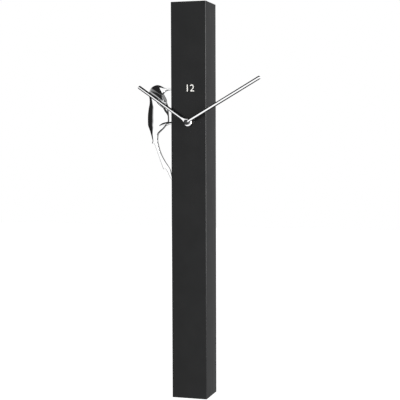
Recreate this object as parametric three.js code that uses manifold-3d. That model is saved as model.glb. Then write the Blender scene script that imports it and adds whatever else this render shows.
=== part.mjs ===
// A slim wall-hung pendulum clock: a square column case, a battery movement with two rod hands,
// and a bird that rocks at the column's left side as the visible part of the pendulum.
// Millimetres, +Z up, front towards -Y. The origin is the wall hook: y = 0 is the wall.
import * as THREE from "three";
import { mergeVertices } from "three/addons/utils/BufferGeometryUtils.js";
import Module from "manifold-3d";

const wasm = await Module();
wasm.setup();

// Driving dimensions
const columnHeight = 700;
const columnWidth = 64;
const columnDepth = 64;
const hookBelowTop = 40;
const hubBelowTop = 210.5;
const wallGap = 1.5; // from the wall to the case's rear edges
const caseWall = 3;
const edgeRadius = 1.5;
const seatGap = 0.3; // between glued or clamped faces
const runGap = 0.12; // between a shaft and its bore, on the radius

const boardThickness = 6; // top and bottom boards
const panelThickness = 3;
const panelRecess = 2.5; // rear panel below the case's rear edges
const battenSize = 9;
const bumperRadius = 6;
const bumperAboveBottom = 30;
const bumperOffset = 18;

const doorSide = 6; // rear panel left on each side of the door
const doorHeight = 66;
const doorGap = 0.5;
const doorAboveHub = 2; // centre of the door above the hub
const hingeHeight = 30;
const hingeBarrelRadius = 1.3;
const hingePinRadius = 0.6;
const leafThickness = 0.8;

const hangerWidth = 38;
const hangerHeight = 30;
const hangerThickness = 1.5;
const keyholeRadius = 4.6;
const keyholeSlotRadius = 2.4;
const keyholeDrop = 8;

const movementInner = 52.8; // clear width inside the movement's housing
const movementWall = 1.6;
const movementPlate = 1.5;
const movementInnerDepth = 12.9;
const washerThickness = 0.8;
const flangeThickness = 1;
const bushRadius = 5;
const nutThickness = 2;
const nutAcrossFlats = 11.6;

const rodRadius = 3.1; // both hands
const hourHandLength = 110;
const minuteHandLength = 152;
const hourEyeRadius = 7.6;
const minuteEyeRadius = 4.7;
const eyeThickness = 4.2;
const handGap = 0.5; // between the two hands
const hourTubeRadius = 2.6;
const minuteShaftRadius = 1.6;
const hourHandAngle = 305; // degrees clockwise from twelve
const minuteHandAngle = 60;

const batteryRadius = 7.25;
const batteryLength = 49.5;
const batteryNub = 1;

const pivotPinRadius = 2;
const rockerThickness = 2;
const swingDegrees = 4;
const legRadius = 2.5;
const pendulumDrop = 108; // pivot to the middle of the bob
const bobRadius = 15;
const bobThickness = 8;
const counterweightOffset = 19.7; // pivot to the middle of the counterweight
const counterweightWidth = 14.6;

const birdGap = 4.6; // beak tip to the column's side
const birdShell = 1.2;

// Places that follow from them
const topZ = hookBelowTop;
const bottomZ = topZ - columnHeight;
const hubZ = topZ - hubBelowTop;
const backY = -wallGap;
const frontY = backY - columnDepth;
const innerFrontY = frontY + caseWall;
const innerHalf = columnWidth / 2 - caseWall;
const middleY = (frontY + backY) / 2;
const panelBackY = backY - panelRecess;
const panelFrontY = panelBackY - panelThickness;
const movementSize = movementInner + 2 * movementWall;
const doorWidth = 2 * (innerHalf - doorSide);

const clock = new THREE.Group();
const hubGroup = new THREE.Group(); // everything placed from the hub's height
hubGroup.position.z = hubZ;
clock.add(hubGroup);

// Finishes
const finish = (color, roughness, metalness) => ({ color, roughness, metalness });
const finishes = {
  lacquer: finish(0x1b1c1e, 0.34, 0),
  chrome: finish(0xe8eaec, 0.06, 1),
  aluminium: finish(0xb9bcc0, 0.35, 1),
  steel: finish(0x9fa3a7, 0.35, 1),
  brass: finish(0xc9a24f, 0.3, 1),
  wood: finish(0xb08a5c, 0.7, 0),
  blackPlastic: finish(0x161718, 0.5, 0),
  whitePlastic: finish(0xe6e4dc, 0.5, 0),
  rubber: finish(0x1a1a1a, 0.9, 0),
  copper: finish(0xb3602f, 0.35, 1),
  board: finish(0x1f6b3a, 0.5, 0),
  battery: finish(0x2f4f8f, 0.35, 0.3),
  magnet: finish(0x55585c, 0.4, 1),
};

// Turns a closed geometry into a solid with its faces pointing out.
function toSolid(geometry) {
  const bare = geometry.index ? geometry.toNonIndexed() : geometry.clone();
  const onlyPlaces = new THREE.BufferGeometry();
  onlyPlaces.setAttribute("position", bare.getAttribute("position"));
  const merged = mergeVertices(onlyPlaces, 1e-4);
  const triVerts = new Uint32Array(merged.index.array);
  const vertProperties = merged.attributes.position.array;
  const solid = new wasm.Manifold(new wasm.Mesh({ numProp: 3, vertProperties, triVerts }));
  if (solid.volume() > 0) return solid;
  for (let i = 0; i < triVerts.length; i += 3) {
    [triVerts[i + 1], triVerts[i + 2]] = [triVerts[i + 2], triVerts[i + 1]];
  }
  return new wasm.Manifold(new wasm.Mesh({ numProp: 3, vertProperties, triVerts }));
}

function addPart(group, name, solid, look) {
  const mesh = solid.getMesh();
  const stride = mesh.numProp;
  const places = new Float32Array(mesh.numVert * 3);
  for (let i = 0; i < mesh.numVert; i += 1) {
    places.set(mesh.vertProperties.subarray(i * stride, i * stride + 3), i * 3);
  }
  const geometry = new THREE.BufferGeometry();
  geometry.setAttribute("position", new THREE.BufferAttribute(places, 3));
  geometry.setIndex(new THREE.BufferAttribute(mesh.triVerts, 1));
  geometry.computeVertexNormals();
  const part = new THREE.Mesh(geometry, new THREE.MeshStandardMaterial(look));
  part.name = name;
  group.add(part);
  return part;
}

// A box between two x, two y and two z values.
function block(x0, x1, y0, y1, z0, z1) {
  const box = new THREE.BoxGeometry(x1 - x0, y1 - y0, z1 - z0);
  return toSolid(box.translate((x0 + x1) / 2, (y0 + y1) / 2, (z0 + z1) / 2));
}

// A round bar along Y, X or Z.
function barY(radius, y0, y1, x = 0, z = 0, sides = 20) {
  const bar = new THREE.CylinderGeometry(radius, radius, y1 - y0, sides);
  return toSolid(bar.translate(x, (y0 + y1) / 2, z));
}

function barX(radius, x0, x1, y, z, sides = 20) {
  const bar = new THREE.CylinderGeometry(radius, radius, x1 - x0, sides);
  return toSolid(bar.rotateZ(Math.PI / 2).translate((x0 + x1) / 2, y, z));
}

function barZ(radius, z0, z1, x, y, sides = 16) {
  const bar = new THREE.CylinderGeometry(radius, radius, z1 - z0, sides);
  return toSolid(bar.rotateX(Math.PI / 2).translate(x, y, (z0 + z1) / 2));
}

// A flat outline drawn in x and z, with its thickness along Y.
function plate(shape, y0, y1, curveSegments = 8) {
  const slab = new THREE.ExtrudeGeometry(shape, { depth: y1 - y0, bevelEnabled: false, curveSegments });
  return toSolid(slab.rotateX(Math.PI / 2).translate(0, y1, 0));
}

function outline(points) {
  return new THREE.Shape(points.map(([x, z]) => new THREE.Vector2(x, z)));
}

// A profile of [radius, along] points turned round the Y axis.
function turned(profile, sides = 20) {
  return toSolid(new THREE.LatheGeometry(profile.map(([r, y]) => new THREE.Vector2(r, y)), sides));
}

const polar = (radius, degrees) => [
  radius * Math.cos(THREE.MathUtils.degToRad(degrees)),
  radius * Math.sin(THREE.MathUtils.degToRad(degrees)),
];

// A countersunk screw along Y with a straight slot in its head, head towards +Y.
function screw(x, z, headY, headRadius, length) {
  const shank = headRadius * 0.5;
  const head = turned(
    [
      [0, headY],
      [headRadius, headY],
      [shank, headY - headRadius * 0.5],
      [shank, headY - length + shank],
      [0, headY - length],
    ],
    12,
  ).translate([x, 0, z]);
  const slotHalf = headRadius * 0.14;
  const slotDepth = headRadius * 0.25;
  return head.subtract(
    block(x - headRadius * 2, x + headRadius * 2, headY - slotDepth, headY + 1, z - slotHalf, z + slotHalf),
  );
}

// Room for that screw, wider than it by the seating gap.
function screwRoom(x, z, headY, headRadius, length) {
  const shank = headRadius * 0.5 + seatGap;
  const wide = headRadius + seatGap;
  return turned(
    [
      [0, headY + 1],
      [wide, headY + 1],
      [wide, headY],
      [shank, headY - headRadius * 0.5],
      [shank, headY - length - seatGap],
      [0, headY - length - seatGap],
    ],
    12,
  ).translate([x, 0, z]);
}

// Case: front and two sides in one, with rounded front and rear edges
const legTravel = columnWidth * Math.tan(THREE.MathUtils.degToRad(swingDegrees)); // at the outer face
const slotHeight = 2 * legRadius + legTravel + 5;
const slotWidth = 2 * legRadius + 5;
const grommetWall = 1.2;
const grommetFlange = 1.5;

function caseOutline() {
  const half = columnWidth / 2;
  const r = edgeRadius;
  const shape = new THREE.Shape();
  shape.moveTo(-half + r, frontY);
  shape.lineTo(half - r, frontY);
  shape.absarc(half - r, frontY + r, r, -Math.PI / 2, 0, false);
  shape.lineTo(half, backY - r);
  shape.absarc(half - r, backY - r, r, 0, Math.PI / 2, false);
  shape.lineTo(innerHalf, backY);
  shape.lineTo(innerHalf, innerFrontY);
  shape.lineTo(-innerHalf, innerFrontY);
  shape.lineTo(-innerHalf, backY);
  shape.lineTo(-half + r, backY);
  shape.absarc(-half + r, backY - r, r, Math.PI / 2, Math.PI, false);
  shape.lineTo(-half, frontY + r);
  shape.absarc(-half + r, frontY + r, r, Math.PI, 1.5 * Math.PI, false);
  return shape;
}

function makeCase() {
  const walls = new THREE.ExtrudeGeometry(caseOutline(), {
    depth: columnHeight,
    bevelEnabled: false,
    curveSegments: 4,
  });
  const bushHole = barY(bushRadius + seatGap, frontY - 1, innerFrontY + 1, 0, hubZ);
  const legSlot = block(
    -columnWidth / 2 - 1,
    -innerHalf + 1,
    middleY - slotWidth / 2,
    middleY + slotWidth / 2,
    hubZ - slotHeight / 2,
    hubZ + slotHeight / 2,
  );
  const shell = toSolid(walls.translate(0, 0, bottomZ)).subtract(bushHole).subtract(legSlot);
  addPart(clock, "case_shell", shell, finishes.lacquer);
}

function makeBoards() {
  const half = innerHalf - seatGap;
  const front = innerFrontY + seatGap;
  const board = (z) => block(-half, half, front, backY, z, z + boardThickness);
  addPart(clock, "top_board", board(topZ - boardThickness), finishes.lacquer);
  addPart(clock, "bottom_board", board(bottomZ), finishes.lacquer);
}

// Rear panel with its battens, screws, access door and wall bumpers
const panelScrewRadius = 2.6;
const panelScrewLength = 11;
const battenX = innerHalf - seatGap - battenSize / 2;
const doorCentreZ = hubZ + doorAboveHub;
const doorLeft = -doorWidth / 2;
const hingeX = doorWidth / 2 + doorGap / 2;
const hingeY = panelBackY + hingeBarrelRadius;

function makePanel() {
  const half = innerHalf - seatGap;
  const low = bottomZ + boardThickness + seatGap;
  const high = topZ - boardThickness - seatGap;
  let panel = block(-half, half, panelFrontY, panelBackY, low, high);
  panel = panel.subtract(
    block(
      doorLeft - doorGap,
      doorWidth / 2 + doorGap,
      panelFrontY - 1,
      panelBackY + 1,
      doorCentreZ - doorHeight / 2 - doorGap,
      doorCentreZ + doorHeight / 2 + doorGap,
    ),
  );
  // clearance behind the keyhole for the head of the wall screw
  const headRoom = keyholeRadius + 1.5;
  panel = panel.subtract(
    block(-headRoom, headRoom, panelFrontY - 1, panelBackY + 1, -keyholeDrop - headRoom, headRoom),
  );
  const battenFront = panelFrontY - seatGap - battenSize;
  const battens = [-1, 1].map((side) =>
    block(
      side * battenX - battenSize / 2,
      side * battenX + battenSize / 2,
      battenFront,
      panelFrontY - seatGap,
      low,
      high,
    ),
  );
  const screwZ = { lower: low + 40, upper: high - 70 };
  for (const [level, z] of Object.entries(screwZ)) {
    for (const [i, side] of ["left", "right"].entries()) {
      const x = (i === 0 ? -1 : 1) * battenX;
      addPart(
        clock,
        `panel_screw_${level}_${side}`,
        screw(x, z, panelBackY - 0.1, panelScrewRadius, panelScrewLength),
        finishes.steel,
      );
      const room = screwRoom(x, z, panelBackY - 0.1, panelScrewRadius, panelScrewLength);
      panel = panel.subtract(room);
      battens[i] = battens[i].subtract(room);
    }
  }
  const bumperZ = bottomZ + bumperAboveBottom;
  for (const [i, side] of ["left", "right"].entries()) {
    const hand = i === 0 ? -1 : 1;
    const x = hand * hangerScrewX;
    panel = panel.subtract(screwRoom(x, 0, hangerBackY, hangerScrewRadius, hangerScrewLength));
    addPart(
      clock,
      `hanger_screw_${side}`,
      screw(x, 0, hangerBackY, hangerScrewRadius, hangerScrewLength),
      finishes.steel,
    );
    addPart(clock, `batten_${side}`, battens[i], finishes.wood);
    addPart(
      clock,
      `wall_bumper_${side}`,
      barY(bumperRadius, panelBackY + seatGap / 2, 0, hand * bumperOffset, bumperZ),
      finishes.rubber,
    );
  }
  addPart(clock, "rear_panel", panel, finishes.lacquer);
}

// Hanger plate with its keyhole, screwed to the rear panel
const hangerFrontY = panelBackY + seatGap / 2;
const hangerBackY = hangerFrontY + hangerThickness;
const hangerScrewX = hangerWidth / 2 - 5;
const hangerScrewRadius = 2.2;
const hangerScrewLength = 4.2;

function makeHanger() {
  let plateSolid = block(
    -hangerWidth / 2,
    hangerWidth / 2,
    hangerFrontY,
    hangerBackY,
    -keyholeDrop - hangerHeight / 2,
    -keyholeDrop + hangerHeight / 2,
  );
  const before = hangerFrontY - 1;
  const behind = hangerBackY + 1;
  plateSolid = plateSolid
    .subtract(barY(keyholeRadius, before, behind, 0, -keyholeDrop))
    .subtract(barY(keyholeSlotRadius, before, behind, 0, 0))
    .subtract(block(-keyholeSlotRadius, keyholeSlotRadius, before, behind, -keyholeDrop, 0));
  for (const side of [-1, 1]) {
    plateSolid = plateSolid.subtract(
      screwRoom(side * hangerScrewX, 0, hangerBackY, hangerScrewRadius, hangerScrewLength),
    );
  }
  addPart(clock, "hanger_plate", plateSolid, finishes.steel);
}

function makeDoor() {
  const knobRadius = 5;
  const knobX = doorLeft + 8;
  addPart(
    clock,
    "battery_door",
    block(
      doorLeft,
      doorWidth / 2,
      panelFrontY,
      panelBackY,
      doorCentreZ - doorHeight / 2,
      doorCentreZ + doorHeight / 2,
    ),
    finishes.lacquer,
  );
  const knob = turned([
    [0, panelBackY + 0.2],
    [knobRadius - 1.5, panelBackY + 0.2],
    [knobRadius, panelBackY + 1.8],
    [knobRadius - 0.4, panelBackY + 2.6],
    [0, panelBackY + 3],
  ]);
  addPart(clock, "door_knob", knob.translate([knobX, 0, doorCentreZ]), finishes.blackPlastic);

  const leafBack = panelBackY + 0.2 + leafThickness;
  const knuckle = hingeHeight / 3;
  const hingeBar = (radius, z0, z1) => barZ(radius, doorCentreZ + z0, doorCentreZ + z1, hingeX, hingeY);
  const bore = hingeBar(hingePinRadius + runGap, -hingeHeight, hingeHeight);
  const barrel = (z0, z1) => hingeBar(hingeBarrelRadius, z0, z1);
  const leaf = (x0, x1, z0, z1) =>
    block(x0, x1, panelBackY + 0.2, leafBack, doorCentreZ + z0, doorCentreZ + z1);
  const half = hingeHeight / 2;
  const caseLeaf = leaf(hingeX, innerHalf - seatGap, -half, half)
    .subtract(leaf(hingeX - 1, hingeX + hingeBarrelRadius + 0.4, -knuckle / 2 - 0.2, knuckle / 2 + 0.2))
    .add(barrel(-half, -knuckle / 2 - 0.2))
    .add(barrel(knuckle / 2 + 0.2, half))
    .subtract(bore);
  addPart(clock, "case_hinge_leaf", caseLeaf, finishes.steel);
  const reach = hingeX - hingeBarrelRadius - 0.4;
  const doorLeaf = leaf(hingeX - 9, reach, -half, half)
    .add(leaf(reach - 1, hingeX, -knuckle / 2 + 0.2, knuckle / 2 - 0.2))
    .add(barrel(-knuckle / 2 + 0.2, knuckle / 2 - 0.2))
    .subtract(bore);
  addPart(clock, "door_hinge_leaf", doorLeaf, finishes.steel);
  addPart(clock, "door_hinge_pin", hingeBar(hingePinRadius, -half - 0.5, half + 0.5), finishes.steel);
}

// A rubber frame that lines the leg's slot in the left side wall
function makeGrommet() {
  const ring = (grow, x0, x1) =>
    block(
      x0,
      x1,
      middleY - slotWidth / 2 - grow,
      middleY + slotWidth / 2 + grow,
      -slotHeight / 2 - grow,
      slotHeight / 2 + grow,
    );
  const outside = -columnWidth / 2;
  const grommet = ring(-seatGap, outside, -innerHalf + seatGap)
    .add(ring(grommetFlange, -innerHalf + seatGap, -innerHalf + seatGap + 1))
    .subtract(ring(-grommetWall, outside - 1, -innerHalf + 3));
  addPart(hubGroup, "slot_grommet", grommet, finishes.rubber);
}

// Movement: each layer follows the one in front of it
const rubberY = innerFrontY + 0.1;
const flangeY = rubberY + washerThickness + 0.1;
const plateY = flangeY + flangeThickness + 0.1;
const floorY = plateY + movementPlate;
const rimY = floorY + movementInnerDepth;
const coverY = rimY + 0.2;
const coverBackY = coverY + movementPlate;
const brassY = frontY - 0.1;
const nutY = brassY - 0.6 - 0.1;
const bushFrontY = nutY - nutThickness - 0.3;
const hourEyeY = bushFrontY - 0.2 - eyeThickness / 2;
const minuteEyeY = hourEyeY - 2 * rodRadius - handGap;
const minuteShaftFrontY = minuteEyeY - eyeThickness / 2;

const motionModule = 0.5;
const cannonTeeth = 12;
const motionTeeth = 36;
const motionPinionTeeth = 10;
const hourTeeth = 40;
const motionDistance = (motionModule * (cannonTeeth + motionTeeth)) / 2;
const hourModule = (2 * motionDistance) / (motionPinionTeeth + hourTeeth);
const knobTeeth = 12;
const centreTeeth = 48;
const thirdPinionTeeth = 6;
const centreModule = 0.4;
const thirdTeeth = 45;
const secondPinionTeeth = 6;
const thirdModule = 0.33;
const secondTeeth = 24;
const secondModule = 0.38;

const motionAngle = 240;
const knobAngle = 200;
const thirdAngle = 340;
const secondAngle = 290;
const motionAt = polar(motionDistance, motionAngle);
const knobStep = polar((motionModule * (motionTeeth + knobTeeth)) / 2, knobAngle);
const knobAt = [motionAt[0] + knobStep[0], motionAt[1] + knobStep[1]];
const thirdAt = polar((centreModule * (centreTeeth + thirdPinionTeeth)) / 2, thirdAngle);
const secondStep = polar((thirdModule * (thirdTeeth + secondPinionTeeth)) / 2, secondAngle);
const secondAt = [thirdAt[0] + secondStep[0], thirdAt[1] + secondStep[1]];

// A spur gear outline with backlash; toothAt is the direction of one tooth in degrees.
function gear(teeth, module, toothAt, [x, z], y0, y1) {
  const pressure = THREE.MathUtils.degToRad(20);
  const pitch = (module * teeth) / 2;
  const base = pitch * Math.cos(pressure);
  const root = pitch - 1.2 * module;
  const tip = pitch + 0.8 * module;
  const involute = (r) => {
    const angle = Math.acos(Math.min(1, base / r));
    return Math.tan(angle) - angle;
  };
  const backlash = 0.16 * module;
  const halfTooth = (r) =>
    Math.PI / (2 * teeth) - backlash / pitch + involute(pitch) - involute(Math.max(r, base));
  const stages = [
    [root, halfTooth(root) * (teeth < 20 ? 0.8 : 1)],
    [pitch, halfTooth(pitch)],
    [tip, halfTooth(tip)],
  ];
  const kept = teeth < 20 ? stages : [stages[0], stages[2]];
  const points = [];
  for (let tooth = 0; tooth < teeth; tooth += 1) {
    const middle = THREE.MathUtils.degToRad(toothAt) + (tooth * 2 * Math.PI) / teeth;
    for (const [r, spread] of kept) {
      points.push([x + r * Math.cos(middle - spread), z + r * Math.sin(middle - spread)]);
    }
    for (const [r, spread] of [...kept].reverse()) {
      points.push([x + r * Math.cos(middle + spread), z + r * Math.sin(middle + spread)]);
    }
  }
  return plate(outline(points), y0, y1);
}

const halfStep = (teeth) => 180 / teeth;

function makeHousing() {
  const half = movementSize / 2;
  const inner = movementInner / 2;
  const partition = batteryZ - batteryRadius - 0.5;
  let housing = block(-half, half, plateY, rimY, -half, half)
    .subtract(block(-inner, inner, floorY, rimY + 1, -inner, inner))
    .add(block(-inner - 1, inner + 1, floorY - 1, rimY - 0.3, partition - 0.9, partition))
    .subtract(barY(bushRadius + 0.2, plateY - 1, floorY + 1));
  const posts = [
    [motionAt, 0.9, motionLayerY + 3.2],
    [thirdAt, thirdPostRadius, rimY - 0.4],
    [secondAt, secondPostRadius, rimY - 0.4],
    [rotorAt, 0.4, rimY - 0.4],
    [knobAt, 0.9, knobPinionY - 0.2],
    [[-22, -24], 1, boardY - 0.2],
    [[24, -24], 1, boardY - 0.2],
  ];
  for (const [[x, z], radius, end] of posts) {
    housing = housing.add(barY(radius, floorY - 1, end, x, z, 12));
  }
  addPart(hubGroup, "movement_housing", housing, finishes.blackPlastic);

  const batteryWindow = block(
    -batteryLength / 2 - 1,
    batteryLength / 2 + 1,
    coverY - 1,
    coverBackY + 1,
    batteryZ - batteryRadius - 0.4,
    batteryZ + batteryRadius + 0.4,
  );
  const cover = block(-half, half, coverY, coverBackY, -half, half)
    .subtract(batteryWindow)
    .subtract(barY(minuteShaftRadius + runGap, coverY - 1, coverBackY + 1))
    .subtract(barY(knobShaftRadius + runGap, coverY - 1, coverBackY + 1, ...knobAt));
  addPart(hubGroup, "movement_cover", cover, finishes.whitePlastic);
}

const hourLayerY = floorY + 0.5;
const motionLayerY = hourLayerY + 2;
const centreLayerY = motionLayerY + 2;
const thirdLayerY = centreLayerY + 1.8;
const secondLayerY = thirdLayerY + 2;
const boardY = rimY - 3;
const knobPinionY = motionLayerY - 0.4;
const knobShaftRadius = 1.5;
const rotorAt = [-2, -22];
const thirdPostRadius = 0.42;
const secondPostRadius = 0.3;
const batteryZ = movementInner / 2 - batteryRadius - 0.3;
const batteryY = coverBackY + 0.3 - batteryRadius;

function makeBushAndNut() {
  const bore = barY(hourTubeRadius + runGap, bushFrontY - 1, floorY + 1);
  const bush = barY(bushRadius, bushFrontY, floorY - 0.2)
    .add(barY(bushRadius + 3, flangeY, flangeY + flangeThickness))
    .subtract(bore);
  addPart(hubGroup, "threaded_bush", bush, finishes.brass);
  const washer = (radius, y0, y1) =>
    barY(radius, y0, y1).subtract(barY(bushRadius + 0.2, y0 - 1, y1 + 1));
  addPart(hubGroup, "rubber_washer", washer(10, rubberY, rubberY + washerThickness), finishes.rubber);
  const brassRadius = nutAcrossFlats / 2 + 0.8;
  addPart(hubGroup, "brass_washer", washer(brassRadius, brassY - 0.6, brassY), finishes.brass);
  const corner = nutAcrossFlats / Math.sqrt(3);
  const nut = barY(corner, nutY - nutThickness, nutY, 0, 0, 6).subtract(
    barY(bushRadius + 0.15, nutY - nutThickness - 1, nutY + 1),
  );
  addPart(hubGroup, "bush_nut", nut, finishes.steel);
}

function makeTrain() {
  const hourPhase = motionAngle + halfStep(hourTeeth);
  const hourWheel = gear(hourTeeth, hourModule, hourPhase, [0, 0], hourLayerY, hourLayerY + 1.3)
    .add(barY(hourTubeRadius, hourEyeY - eyeThickness / 2, hourLayerY + 0.5))
    .subtract(barY(minuteShaftRadius + runGap, hourEyeY - eyeThickness, hourLayerY + 3));
  addPart(hubGroup, "hour_wheel", hourWheel, finishes.whitePlastic);

  const arbor = barY(minuteShaftRadius, minuteShaftFrontY, coverBackY - 0.2)
    .add(gear(cannonTeeth, motionModule, motionAngle, [0, 0], hourLayerY + 1.8, motionLayerY + 1.6));
  addPart(hubGroup, "minute_arbor", arbor, finishes.steel);
  const centre = gear(centreTeeth, centreModule, thirdAngle, [0, 0], centreLayerY, centreLayerY + 1).subtract(
    barY(minuteShaftRadius + 0.15, centreLayerY - 1, centreLayerY + 2),
  );
  addPart(hubGroup, "centre_wheel", centre, finishes.brass);

  const towardsHub = 180 + motionAngle;
  const motionPhase = towardsHub + halfStep(motionTeeth);
  const pinionFrontY = hourLayerY - 0.1;
  const motion = gear(motionTeeth, motionModule, motionPhase, motionAt, motionLayerY, motionLayerY + 1.2)
    .add(gear(motionPinionTeeth, hourModule, towardsHub, motionAt, pinionFrontY, motionLayerY + 0.2))
    .subtract(barY(0.9 + runGap, hourLayerY - 1, motionLayerY + 2, ...motionAt));
  addPart(hubGroup, "motion_wheel", motion, finishes.whitePlastic);

  // the knob's pinion has a gap where the motion wheel has a tooth
  const pitchAngle = 360 / motionTeeth;
  const past = (knobAngle - motionPhase) / pitchAngle;
  const ahead = (past - Math.floor(past)) * pitchAngle;
  const knobPhase = 180 + knobAngle + halfStep(knobTeeth) + (ahead * motionTeeth) / knobTeeth;
  const knob = gear(knobTeeth, motionModule, knobPhase, knobAt, knobPinionY, motionLayerY + 1.6)
    .add(barY(knobShaftRadius, knobPinionY, coverBackY + 1, ...knobAt))
    .add(barY(5, coverBackY + 0.4, coverBackY + 4, ...knobAt))
    .subtract(barY(0.9 + runGap, knobPinionY - 1, knobPinionY + 0.4, ...knobAt));
  addPart(hubGroup, "setting_knob", knob, finishes.whitePlastic);

  const third = gear(
    thirdPinionTeeth,
    centreModule,
    180 + thirdAngle + halfStep(thirdPinionTeeth),
    thirdAt,
    centreLayerY - 0.3,
    thirdLayerY + 0.2,
  )
    .add(gear(thirdTeeth, thirdModule, secondAngle, thirdAt, thirdLayerY, thirdLayerY + 0.8))
    .subtract(barY(thirdPostRadius + runGap, centreLayerY - 1, thirdLayerY + 2, ...thirdAt, 12));
  addPart(hubGroup, "third_wheel", third, finishes.whitePlastic);

  const second = gear(
    secondPinionTeeth,
    thirdModule,
    180 + secondAngle + halfStep(secondPinionTeeth),
    secondAt,
    thirdLayerY - 0.3,
    secondLayerY + 0.2,
  )
    .add(gear(secondTeeth, secondModule, 0, secondAt, secondLayerY, secondLayerY + 0.8))
    .subtract(barY(secondPostRadius + runGap, thirdLayerY - 1, secondLayerY + 2, ...secondAt, 12));
  addPart(hubGroup, "second_wheel", second, finishes.whitePlastic);
}

// Coil, stator, rotor and circuit board along the movement's lower edge
function makeElectronics() {
  const [rotorX, rotorZ] = rotorAt;
  const statorY = centreLayerY + 0.4;
  const statorBack = statorY + 0.8;
  const ring = barY(4.2, statorY, statorBack, rotorX, rotorZ);
  const stator = block(rotorX, 21.5, statorY, statorBack, rotorZ - 1, rotorZ + 1)
    .add(ring)
    .subtract(barY(2.6, statorY - 1, statorBack + 1, rotorX, rotorZ));
  addPart(hubGroup, "stator", stator, finishes.steel);
  const rotor = barY(2.1, statorY - 1, statorBack + 1, rotorX, rotorZ, 16).subtract(
    barY(0.4 + runGap, statorY - 2, statorBack + 2, rotorX, rotorZ, 12),
  );
  addPart(hubGroup, "rotor", rotor, finishes.magnet);
  const coilMiddle = (statorY + statorBack) / 2;
  const coil = barX(3, 4.5, 20, coilMiddle, rotorZ).subtract(
    block(4, 21, statorY - 0.2, statorBack + 0.2, rotorZ - 1.2, rotorZ + 1.2),
  );
  addPart(hubGroup, "drive_coil", coil, finishes.copper);
  const board = block(-25, 25, boardY, boardY + 1, -26, -18.6).subtract(
    barY(1.1, boardY - 1, boardY + 2, rotorX, rotorZ, 12),
  );
  addPart(hubGroup, "circuit_board", board, finishes.board);
  addPart(hubGroup, "quartz_crystal", barX(1, -14, -8, boardY - 1.3, -22, 12), finishes.steel);
}

function makeBattery() {
  const can = barX(batteryRadius, -batteryLength / 2, batteryLength / 2 - batteryNub, batteryY, batteryZ, 28)
    .add(barX(2.7, 0, batteryLength / 2, batteryY, batteryZ, 16));
  addPart(hubGroup, "battery", can, finishes.battery);
  const inner = movementInner / 2;
  for (const [name, side] of [
    ["contact_plus", 1],
    ["contact_minus", -1],
  ]) {
    const x0 = side > 0 ? inner - 0.8 : -inner + 0.3;
    const strip = block(x0, x0 + 0.5, batteryY - 5, batteryY + 4, batteryZ - 4, batteryZ + 4);
    addPart(hubGroup, name, strip, finishes.steel);
  }
}

// Hands: round rods that flare into an eye; each is drawn pointing up and turned by its group
function rodHand(length, eyeRadius, flareLength, y) {
  const rounding = 0.6;
  const profile = [
    [0, 0],
    [rodRadius, 0],
    [rodRadius, length - rounding],
    [rodRadius - rounding, length],
    [0, length],
  ];
  const rod = toSolid(
    new THREE.LatheGeometry(profile.map(([r, along]) => new THREE.Vector2(r, along)), 20)
      .rotateX(Math.PI / 2)
      .translate(0, y, 0),
  );
  const halfEye = eyeThickness / 2;
  const eye = turned([
    [0, y - halfEye],
    [eyeRadius - 1.2, y - halfEye],
    [eyeRadius, y - halfEye + 1.2],
    [eyeRadius, y + halfEye - 1.2],
    [eyeRadius - 1.2, y + halfEye],
    [0, y + halfEye],
  ]);
  const flare = new THREE.Shape();
  const side = eyeRadius * 0.96;
  const low = Math.sqrt(eyeRadius ** 2 - side ** 2);
  flare.moveTo(-side, low);
  flare.lineTo(side, low);
  flare.quadraticCurveTo(rodRadius, eyeRadius * 1.1, rodRadius * 0.8, flareLength);
  flare.lineTo(-rodRadius * 0.8, flareLength);
  flare.quadraticCurveTo(-rodRadius, eyeRadius * 1.1, -side, low);
  return rod.add(eye).add(plate(flare, y - halfEye + 0.3, y + halfEye - 0.3));
}

function makeHands() {
  const hour = new THREE.Group();
  hour.rotation.y = THREE.MathUtils.degToRad(hourHandAngle);
  hubGroup.add(hour);
  const hourBore = barY(hourTubeRadius + 0.3, hourEyeY - 9, hourEyeY + 9);
  const hourHand = rodHand(hourHandLength, hourEyeRadius, 17, hourEyeY).subtract(hourBore);
  // the eye stays flat round the shaft, clear of the nut behind it and the other hand
  const eyeFront = hourEyeY - eyeThickness / 2;
  const eyeBack = hourEyeY + eyeThickness / 2;
  const trimmed = hourHand
    .subtract(barY(hourEyeRadius - 1.2, eyeFront - 5, eyeFront))
    .subtract(barY(hourEyeRadius + 1.6, eyeBack, eyeBack + 5));
  addPart(hour, "hour_hand", trimmed, finishes.chrome);

  const minute = new THREE.Group();
  minute.rotation.y = THREE.MathUtils.degToRad(minuteHandAngle);
  hubGroup.add(minute);
  const minuteBore = barY(minuteShaftRadius + 0.3, minuteEyeY - 9, minuteEyeY + 9);
  const minuteHand = rodHand(minuteHandLength, minuteEyeRadius, 8, minuteEyeY).subtract(minuteBore);
  addPart(minute, "minute_hand", minuteHand, finishes.chrome);
  const capY = minuteEyeY - rodRadius - 0.2;
  const cap = turned([
    [0, capY],
    [2.9, capY],
    [2.9, capY - 0.6],
    [2.1, capY - 1.2],
    [0, capY - 1.5],
  ]);
  addPart(minute, "hand_nut", cap, finishes.blackPlastic);
}

// Pendulum: a rocker on a pin behind the movement, with the bird on its left arm
const blockFrontY = coverBackY + 0.4;
const rockerFrontY = middleY - rockerThickness / 2;
const rockerBackY = middleY + rockerThickness / 2;
const blockBackY = rockerFrontY - 2.2;
const bearingRadius = 4;
const armEnd = innerHalf - 4;

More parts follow.
